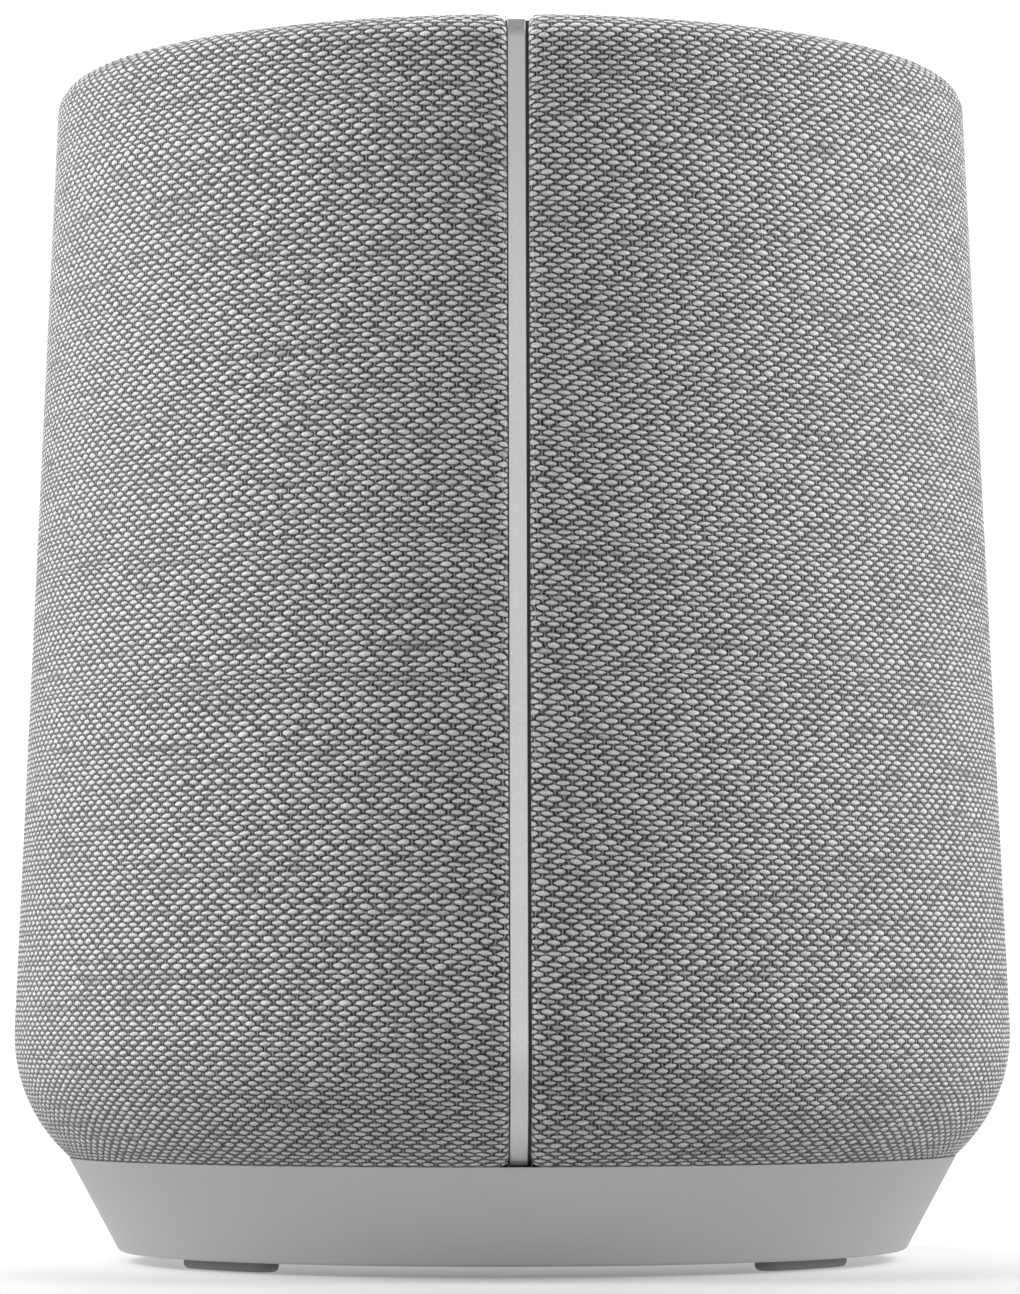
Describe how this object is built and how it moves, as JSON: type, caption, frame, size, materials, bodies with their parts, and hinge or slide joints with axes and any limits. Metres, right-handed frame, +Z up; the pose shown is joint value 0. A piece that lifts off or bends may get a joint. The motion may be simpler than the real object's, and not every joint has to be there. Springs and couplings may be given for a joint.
{
  "type": "smart speaker",
  "caption": "Round tapered smart speaker wrapped in woven cloth with a metal seam strip, painted base and keys on its top.",
  "frame": {"origin": "centre of the footprint, on the plane the feet stand on", "axes": "+Z up; -Y towards the side with the vertical trim strip; +Y towards the side where the cord leaves"},
  "size_m": [0.165, 0.1649, 0.1949],
  "materials": {
    "fabric": "heavy woven melange cloth",
    "trim_aluminium": "satin",
    "base_paint": "satin silver-grey",
    "foot_rubber": "matte",
    "black_plastic": "fine grain",
    "shell_plastic": "fine grain",
    "panel_plastic": "satin",
    "key_plastic": "satin",
    "diffuser_plastic": "milky",
    "silicone": "matte",
    "circuit_board": "solder mask",
    "steel": "plated",
    "ferrite": "sintered, dull",
    "cone_paper": "pulp, dull",
    "surround_rubber": "matte",
    "copper": "lacquered copper wire",
    "spider_cloth": "resin-dipped cloth",
    "brass": "plated",
    "dome_silk": "coated silk",
    "transformer_core": "taped core",
    "capacitor_can": "sleeved can",
    "cable_jacket": "matte"
  },
  "bodies": {
    "speaker_body": {"fabric_sleeve": "fabric", "seam_trim_strip": "trim_aluminium", "base_skirt": "base_paint", "bottom_cover": "black_plastic", "mains_inlet": "black_plastic", "inlet_pin_1": "brass", "inlet_pin_2": "brass", "rim_ring": "shell_plastic", "hem_ring": "shell_plastic", "grille_shell": "shell_plastic", "chassis_plate": "shell_plastic", "top_carrier": "shell_plastic", "top_bezel": "black_plastic", "light_ring": "diffuser_plastic", "top_panel": "panel_plastic", "key_dome_mat": "silicone", "control_board": "circuit_board", "light_board": "circuit_board", "microphone_1": "steel", "microphone_2": "steel", "upper_housing": "black_plastic", "acoustic_reflector": "black_plastic", "main_board": "circuit_board", "antenna": "circuit_board", "power_board": "circuit_board", "amplifier_heat_sink": "trim_aluminium", "tweeter_left_housing": "black_plastic", "tweeter_right_housing": "black_plastic", "enclosure_body": "black_plastic", "enclosure_lid": "black_plastic", "woofer_basket": "steel", "woofer_surround": "surround_rubber", "woofer_spider": "spider_cloth", "woofer_top_plate": "steel", "woofer_magnet": "ferrite", "woofer_yoke": "steel", "radiator_frame": "black_plastic", "radiator_surround": "surround_rubber", "transformer": "transformer_core", "capacitor": "capacitor_can", "internal_cable": "cable_jacket", "foot_1": "foot_rubber", "foot_2": "foot_rubber", "foot_3": "foot_rubber", "foot_4": "foot_rubber", "cover_screw_1": "steel", "cover_screw_2": "steel", "cover_screw_3": "steel"},
    "volume_up_key": {"volume_up_key": "key_plastic"},
    "volume_down_key": {"volume_down_key": "key_plastic"},
    "play_pause_key": {"play_pause_key": "key_plastic"},
    "mic_mute_key": {"mic_mute_key": "key_plastic"},
    "reset_button": {"reset_button": "key_plastic"},
    "woofer_moving": {"woofer_cone": "cone_paper", "woofer_dust_cap": "cone_paper", "voice_coil": "copper"},
    "radiator_moving": {"radiator_diaphragm": "black_plastic", "radiator_weight": "steel"},
    "tweeter_left_dome": {"tweeter_left_dome": "dome_silk"},
    "tweeter_right_dome": {"tweeter_right_dome": "dome_silk"}
  },
  "joints": [
    {"name": "volume_up_press", "type": "slide", "parent": "speaker_body", "child": "volume_up_key", "axis": [0, 0, -1], "range_m": [0, 0.0006], "stiffness_N_per_m": 2500, "deforming": ["key_dome_mat"]},
    {"name": "volume_down_press", "type": "slide", "parent": "speaker_body", "child": "volume_down_key", "axis": [0, 0, -1], "range_m": [0, 0.0006], "stiffness_N_per_m": 2500, "deforming": ["key_dome_mat"]},
    {"name": "play_pause_press", "type": "slide", "parent": "speaker_body", "child": "play_pause_key", "axis": [0, 0, -1], "range_m": [0, 0.0006], "stiffness_N_per_m": 2500, "deforming": ["key_dome_mat"]},
    {"name": "mic_mute_press", "type": "slide", "parent": "speaker_body", "child": "mic_mute_key", "axis": [0, 0, -1], "range_m": [0, 0.0006], "stiffness_N_per_m": 2500, "deforming": ["key_dome_mat"]},
    {"name": "reset_press", "type": "slide", "parent": "speaker_body", "child": "reset_button", "axis": [0, 0, 1], "range_m": [0, 0.0008], "stiffness_N_per_m": 2000},
    {"name": "woofer_stroke", "type": "slide", "parent": "speaker_body", "child": "woofer_moving", "axis": [0, 0, 1], "range_m": [-0.003, 0.003], "stiffness_N_per_m": 2500, "deforming": ["woofer_surround", "woofer_spider"]},
    {"name": "radiator_stroke", "type": "slide", "parent": "speaker_body", "child": "radiator_moving", "axis": [0, 0, 1], "range_m": [-0.004, 0.004], "stiffness_N_per_m": 3000, "deforming": ["radiator_surround"]},
    {"name": "tweeter_left_stroke", "type": "slide", "parent": "speaker_body", "child": "tweeter_left_dome", "axis": [-1, 0, 0], "range_m": [-0.0003, 0.0003], "stiffness_N_per_m": 3000},
    {"name": "tweeter_right_stroke", "type": "slide", "parent": "speaker_body", "child": "tweeter_right_dome", "axis": [1, 0, 0], "range_m": [-0.0003, 0.0003], "stiffness_N_per_m": 3000}
  ]
}
